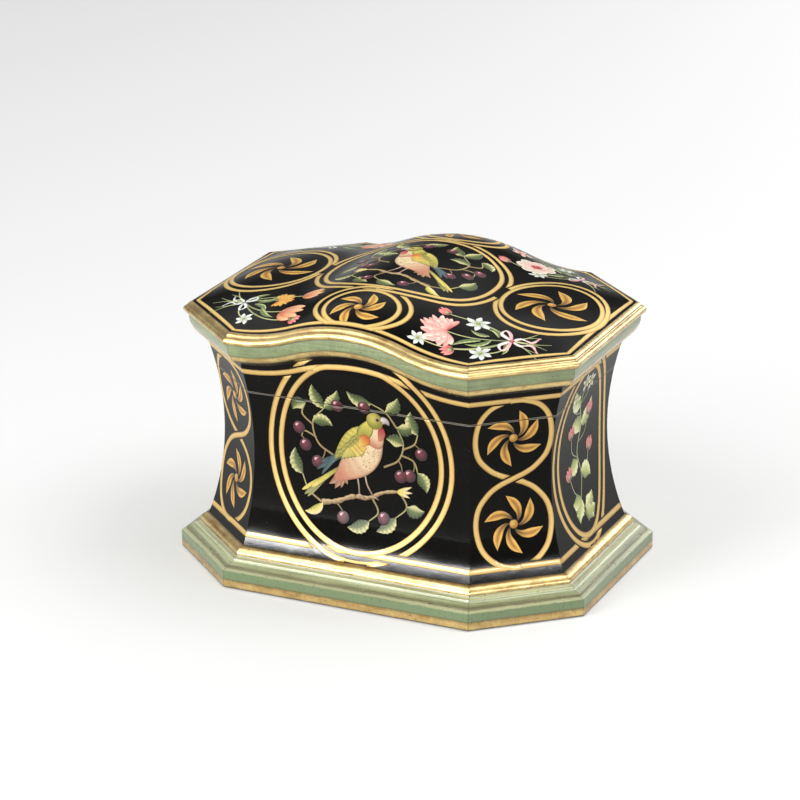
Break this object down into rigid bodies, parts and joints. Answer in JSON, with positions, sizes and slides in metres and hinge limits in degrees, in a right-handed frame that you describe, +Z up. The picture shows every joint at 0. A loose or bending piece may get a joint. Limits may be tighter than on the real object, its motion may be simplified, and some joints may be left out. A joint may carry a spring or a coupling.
{
  "type": "lacquered papier mache casket",
  "caption": "Cut-cornered lacquered papier mache casket with hollow walls, moulded base and rims, and a hinged arched lid with painted decoration.",
  "frame": {"origin": "middle of the underside of the base, on the surface that it stands on", "axes": "+X to the viewer's right along the front, +Y to the back, +Z up"},
  "size_m": [0.2, 0.154, 0.1383],
  "materials": {
    "lacquer": "glossy black lacquer",
    "moulding_paint": "painted green with gilt bands, satin",
    "hinge_brass": "aged, satin",
    "baize": "felt",
    "felt": "felt"
  },
  "bodies": {
    "case": {"base_baize": "baize", "base_board": "moulding_paint", "base_moulding_front": "moulding_paint", "base_moulding_front_right": "moulding_paint", "base_moulding_right": "moulding_paint", "base_moulding_back_right": "moulding_paint", "base_moulding_back": "moulding_paint", "base_moulding_back_left": "moulding_paint", "base_moulding_left": "moulding_paint", "base_moulding_front_left": "moulding_paint", "case_wall": "lacquer", "floor_pad": "felt", "hinge_case_leaf_left": "hinge_brass", "hinge_case_leaf_right": "hinge_brass", "hinge_pin_left": "hinge_brass", "hinge_pin_right": "hinge_brass", "hinge_case_screws": "hinge_brass"},
    "lid": {"lid_wall": "lacquer", "lid_rim_front": "moulding_paint", "lid_rim_front_right": "moulding_paint", "lid_rim_right": "moulding_paint", "lid_rim_back_right": "moulding_paint", "lid_rim_back": "moulding_paint", "lid_rim_back_left": "moulding_paint", "lid_rim_left": "moulding_paint", "lid_rim_front_left": "moulding_paint", "lid_panel": "lacquer", "hinge_lid_leaf_left": "hinge_brass", "hinge_lid_leaf_right": "hinge_brass", "hinge_lid_screws": "hinge_brass"}
  },
  "joints": [
    {"name": "lid_hinge", "type": "hinge", "parent": "case", "child": "lid", "pos_m": [0, 0.06226, 0.089], "axis": [-1, 0, 0], "range_deg": [0, 100]}
  ]
}
